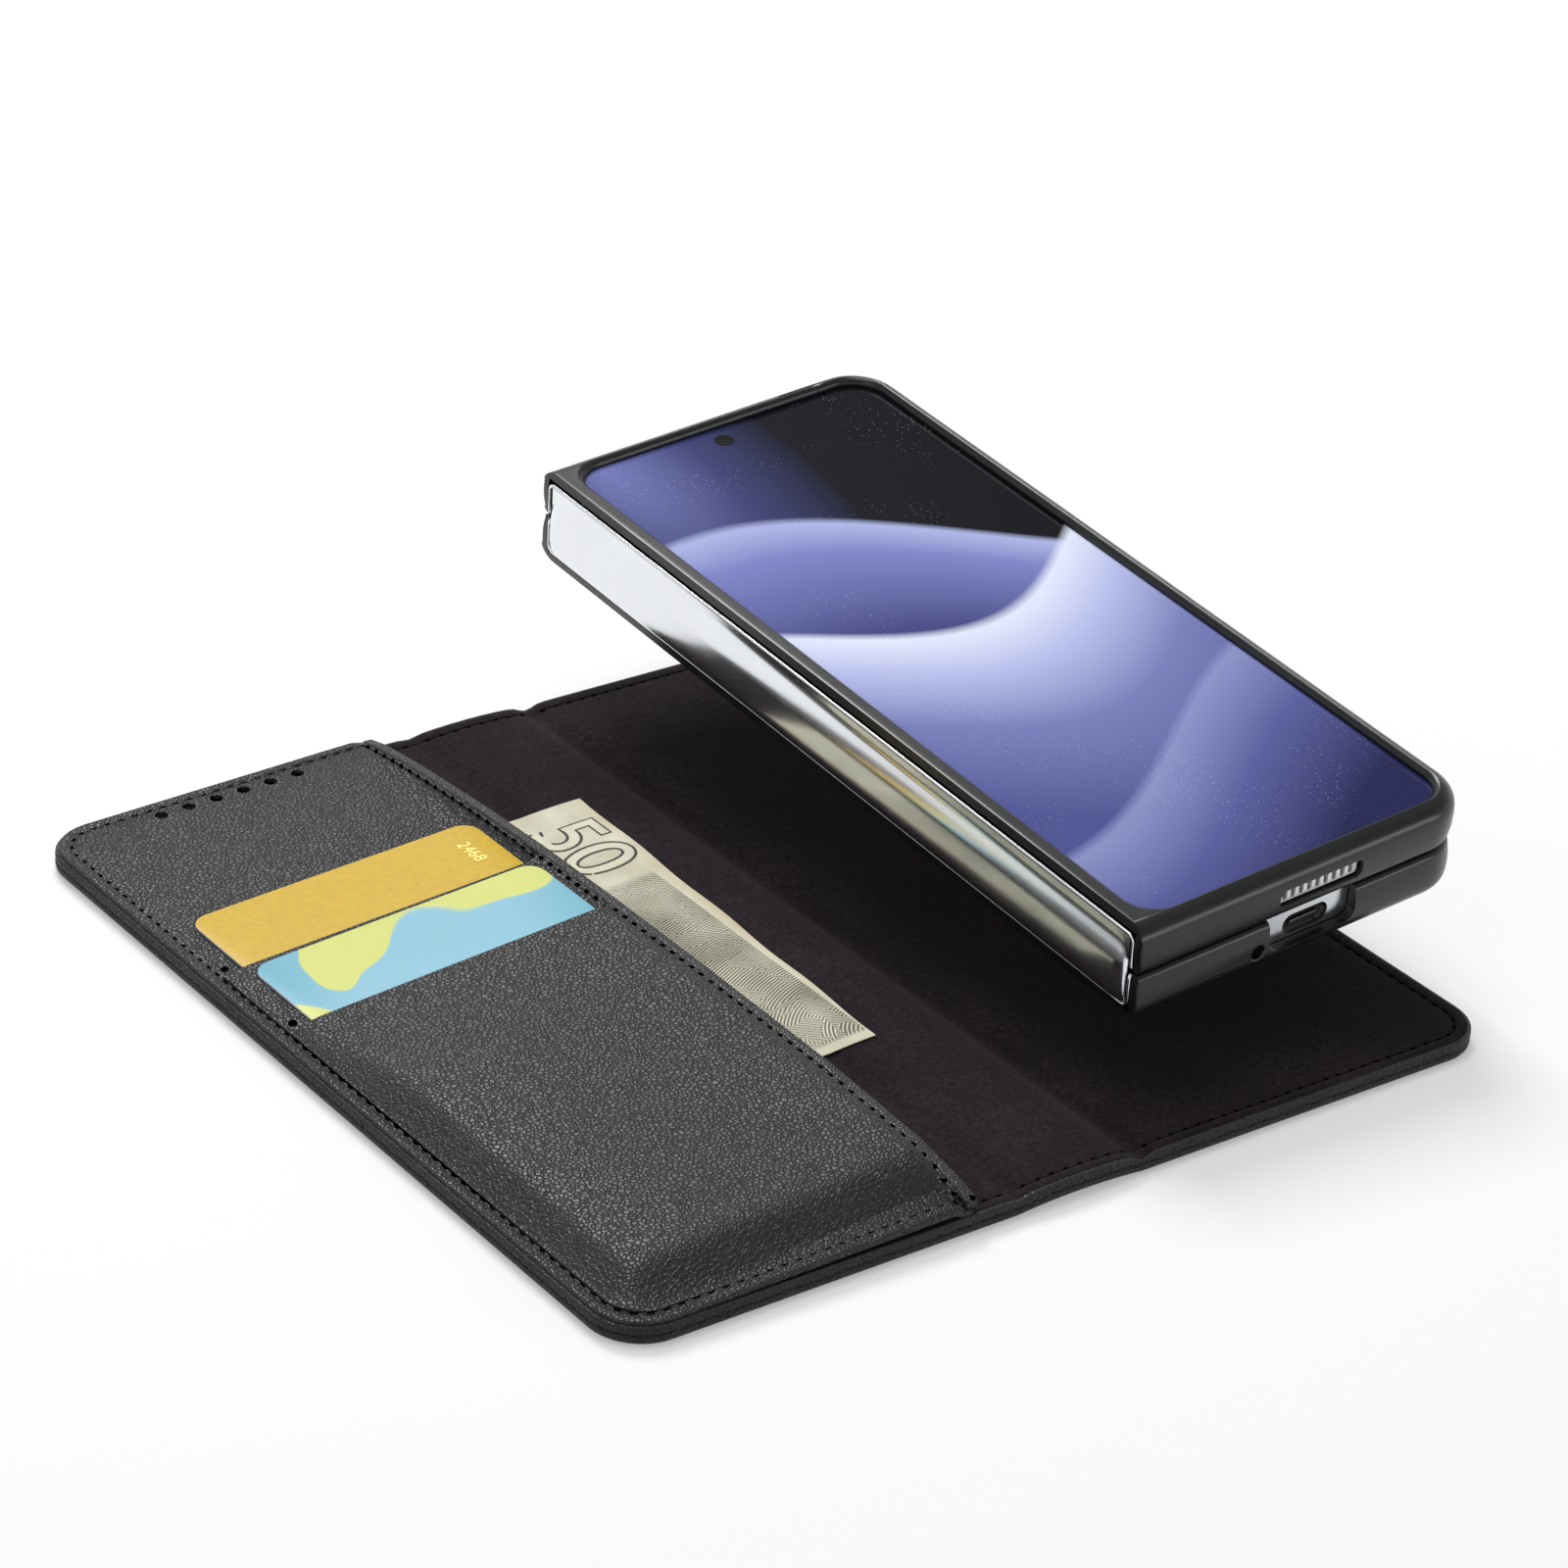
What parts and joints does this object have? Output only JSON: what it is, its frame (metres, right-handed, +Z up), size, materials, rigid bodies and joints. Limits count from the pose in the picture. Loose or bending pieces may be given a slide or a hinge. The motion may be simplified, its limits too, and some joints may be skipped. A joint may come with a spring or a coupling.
{
  "type": "phone wallet case",
  "caption": "Leather folio with card slots and a cash pocket, shown open, with a hinged-phone hard case held just off its back cover.",
  "frame": {"origin": "middle of the back cover's underside, on the table", "axes": "+X towards the back cover's free edge, +Y towards the top end, +Z up"},
  "size_m": [0.175, 0.1762, 0.0523],
  "materials": {
    "black_leather": "fine pebble grain, satin",
    "pocket_leather": "fine pebble grain, satin",
    "board": "dense grey board",
    "suede": "brushed microfibre suede",
    "thread": "waxed thread",
    "magnet": "plated",
    "steel_plate": "rolled sheet",
    "gold_card": "laminated card",
    "blue_card": "laminated card",
    "note_paper": "crisp printed paper",
    "case_plastic": "soft satin",
    "phone_body": "anodised, polished edges",
    "screen_glass": "polished display glass",
    "dark_glass": "polished, dark when off",
    "hinge_chrome": "mirror",
    "pin_steel": "ground",
    "grille_metal": "polished",
    "key_metal": "anodised"
  },
  "bodies": {
    "back_panel": {"back_leather": "black_leather", "back_board": "board", "back_lining": "suede", "back_magnets": "magnet", "back_stitching": "thread"},
    "spine_panel": {"spine_leather": "black_leather", "spine_board": "board", "spine_lining": "suede", "spine_stitching": "thread"},
    "front_panel": {"front_leather": "black_leather", "front_board": "board", "front_lining": "suede", "front_stitching": "thread", "pocket_base": "pocket_leather", "upper_slot": "pocket_leather", "lower_slot": "pocket_leather", "hem_stitching": "thread", "banknote": "note_paper"},
    "card_upper": {"upper_card": "gold_card"},
    "card_lower": {"lower_card": "blue_card"},
    "case_back": {"case_back_shell": "case_plastic", "case_steel_plate": "steel_plate"},
    "phone_base": {"phone_rear_half": "phone_body", "inner_screen_rear": "dark_glass", "camera_plate": "dark_glass", "camera_lenses": "dark_glass", "usb_socket": "grille_metal"},
    "phone_hinge": {"hinge_cover": "hinge_chrome", "hinge_pins": "pin_steel"},
    "phone_lid": {"phone_front_half": "phone_body", "inner_screen_front": "dark_glass", "cover_glass": "screen_glass", "speaker_grille": "grille_metal"},
    "case_front": {"case_front_frame": "case_plastic"},
    "power_button": {"power_key": "key_metal"},
    "volume_button": {"volume_key": "key_metal"}
  },
  "joints": [
    {"name": "spine_fold", "type": "hinge", "parent": "back_panel", "child": "spine_panel", "pos_m": [-0.03675, 0, 0.0034], "axis": [0, 1, 0], "range_deg": [0, 90]},
    {"name": "front_fold", "type": "hinge", "parent": "spine_panel", "child": "front_panel", "pos_m": [-0.06035, 0, 0.0034], "axis": [0, 1, 0], "range_deg": [0, 90], "deforming": ["banknote"]},
    {"name": "case_dock", "type": "hinge", "parent": "back_panel", "child": "case_back", "pos_m": [-0.12, -0.152, 0.105], "axis": [-0.7217, 0.6816, -0.1203], "range_deg": [0, 6.4]},
    {"name": "phone_lift", "type": "slide", "parent": "case_back", "child": "phone_base", "axis": [0.0754, 0.081, -0.9939], "range_m": [-0.025, 0]},
    {"name": "rear_hinge", "type": "hinge", "parent": "phone_base", "child": "phone_hinge", "pos_m": [-0.02894, 0.009, 0.03045], "axis": [-0.0165, 0.9967, 0.0799], "range_deg": [-90, 0]},
    {"name": "front_hinge", "type": "hinge", "parent": "phone_hinge", "child": "phone_lid", "pos_m": [-0.02918, 0.00874, 0.03363], "axis": [-0.0165, 0.9967, 0.0799], "range_deg": [-90, 0]},
    {"name": "frame_off", "type": "slide", "parent": "phone_lid", "child": "case_front", "axis": [0.0754, 0.081, -0.9939], "range_m": [-0.015, 0]},
    {"name": "upper_card_slide", "type": "slide", "parent": "front_panel", "child": "card_upper", "axis": [0, -1, 0], "range_m": [-0.07, 0.012]},
    {"name": "lower_card_slide", "type": "slide", "parent": "front_panel", "child": "card_lower", "axis": [0, -1, 0], "range_m": [-0.07, 0.012]},
    {"name": "power_press", "type": "slide", "parent": "phone_base", "child": "power_button", "axis": [-0.997, -0.0103, -0.0765], "range_m": [0, 0.0004], "stiffness_N_per_m": 3000, "springref_m": -0.0003},
    {"name": "volume_press", "type": "slide", "parent": "phone_base", "child": "volume_button", "axis": [-0.997, -0.0103, -0.0765], "range_m": [0, 0.0004], "stiffness_N_per_m": 3000, "springref_m": -0.0003}
  ],
  "couplings": [
    {"joint": "front_hinge", "follows": "rear_hinge", "ratio": 1}
  ]
}
